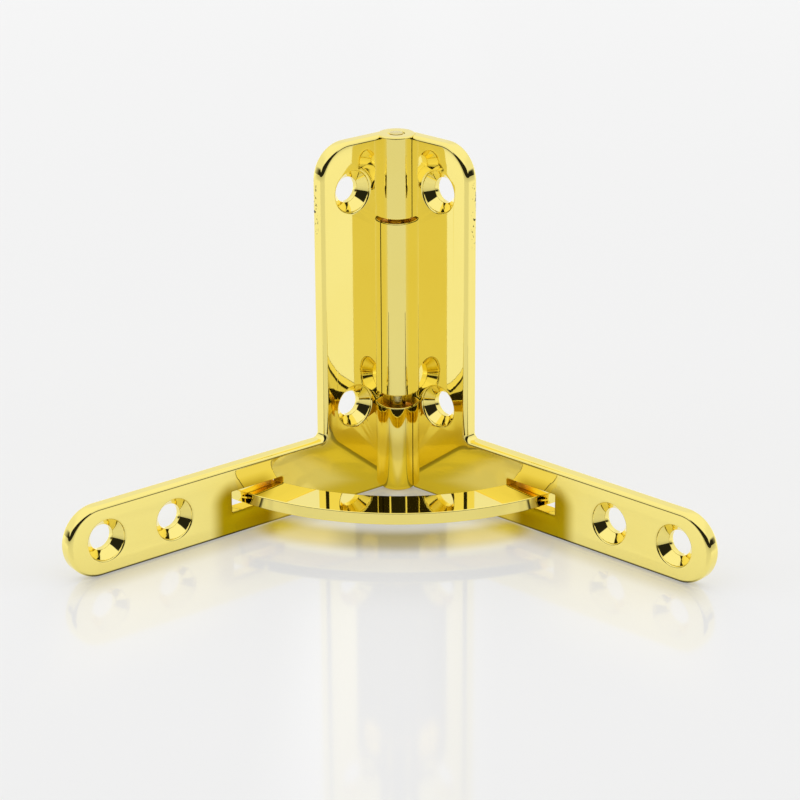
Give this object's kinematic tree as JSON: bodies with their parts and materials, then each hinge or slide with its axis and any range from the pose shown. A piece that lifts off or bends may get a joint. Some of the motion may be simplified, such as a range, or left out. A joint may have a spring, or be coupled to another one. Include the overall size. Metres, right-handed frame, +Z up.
{
  "type": "box hinge",
  "caption": "Polished gold corner hinge for a small box: two L-shaped leaves on one pin, with a loose curved stay through slots in both arms that stops the lid just past upright.",
  "frame": {"origin": "on the pin's axis, in the plane that the arms' lower edges stand on", "axes": "+Z up the pin, -Y along the middle of the opening between the leaves, +X towards the right leaf"},
  "size_m": [0.0688, 0.0306, 0.0416],
  "materials": {
    "polished_gold": "mirror-polished gold plate",
    "gold_pin": "gold-plated steel rod, satin end"
  },
  "bodies": {
    "left_leaf_body": {"left_leaf": "polished_gold", "hinge_pin": "gold_pin"},
    "right_leaf_body": {"right_leaf": "polished_gold"},
    "stay_body": {"stay_arc": "polished_gold"}
  },
  "joints": [
    {"name": "leaf_fold", "type": "hinge", "parent": "left_leaf_body", "child": "right_leaf_body", "pos_m": [0, 0, 0], "axis": [0, 0, -1], "range_deg": [0, 98]},
    {"name": "stay_slide", "type": "hinge", "parent": "left_leaf_body", "child": "stay_body", "pos_m": [-0.00505, 0.0023, 0], "axis": [0, 0, -1], "range_deg": [0, 49]}
  ],
  "couplings": [
    {"joint": "stay_slide", "follows": "leaf_fold", "ratio": 0.5}
  ]
}
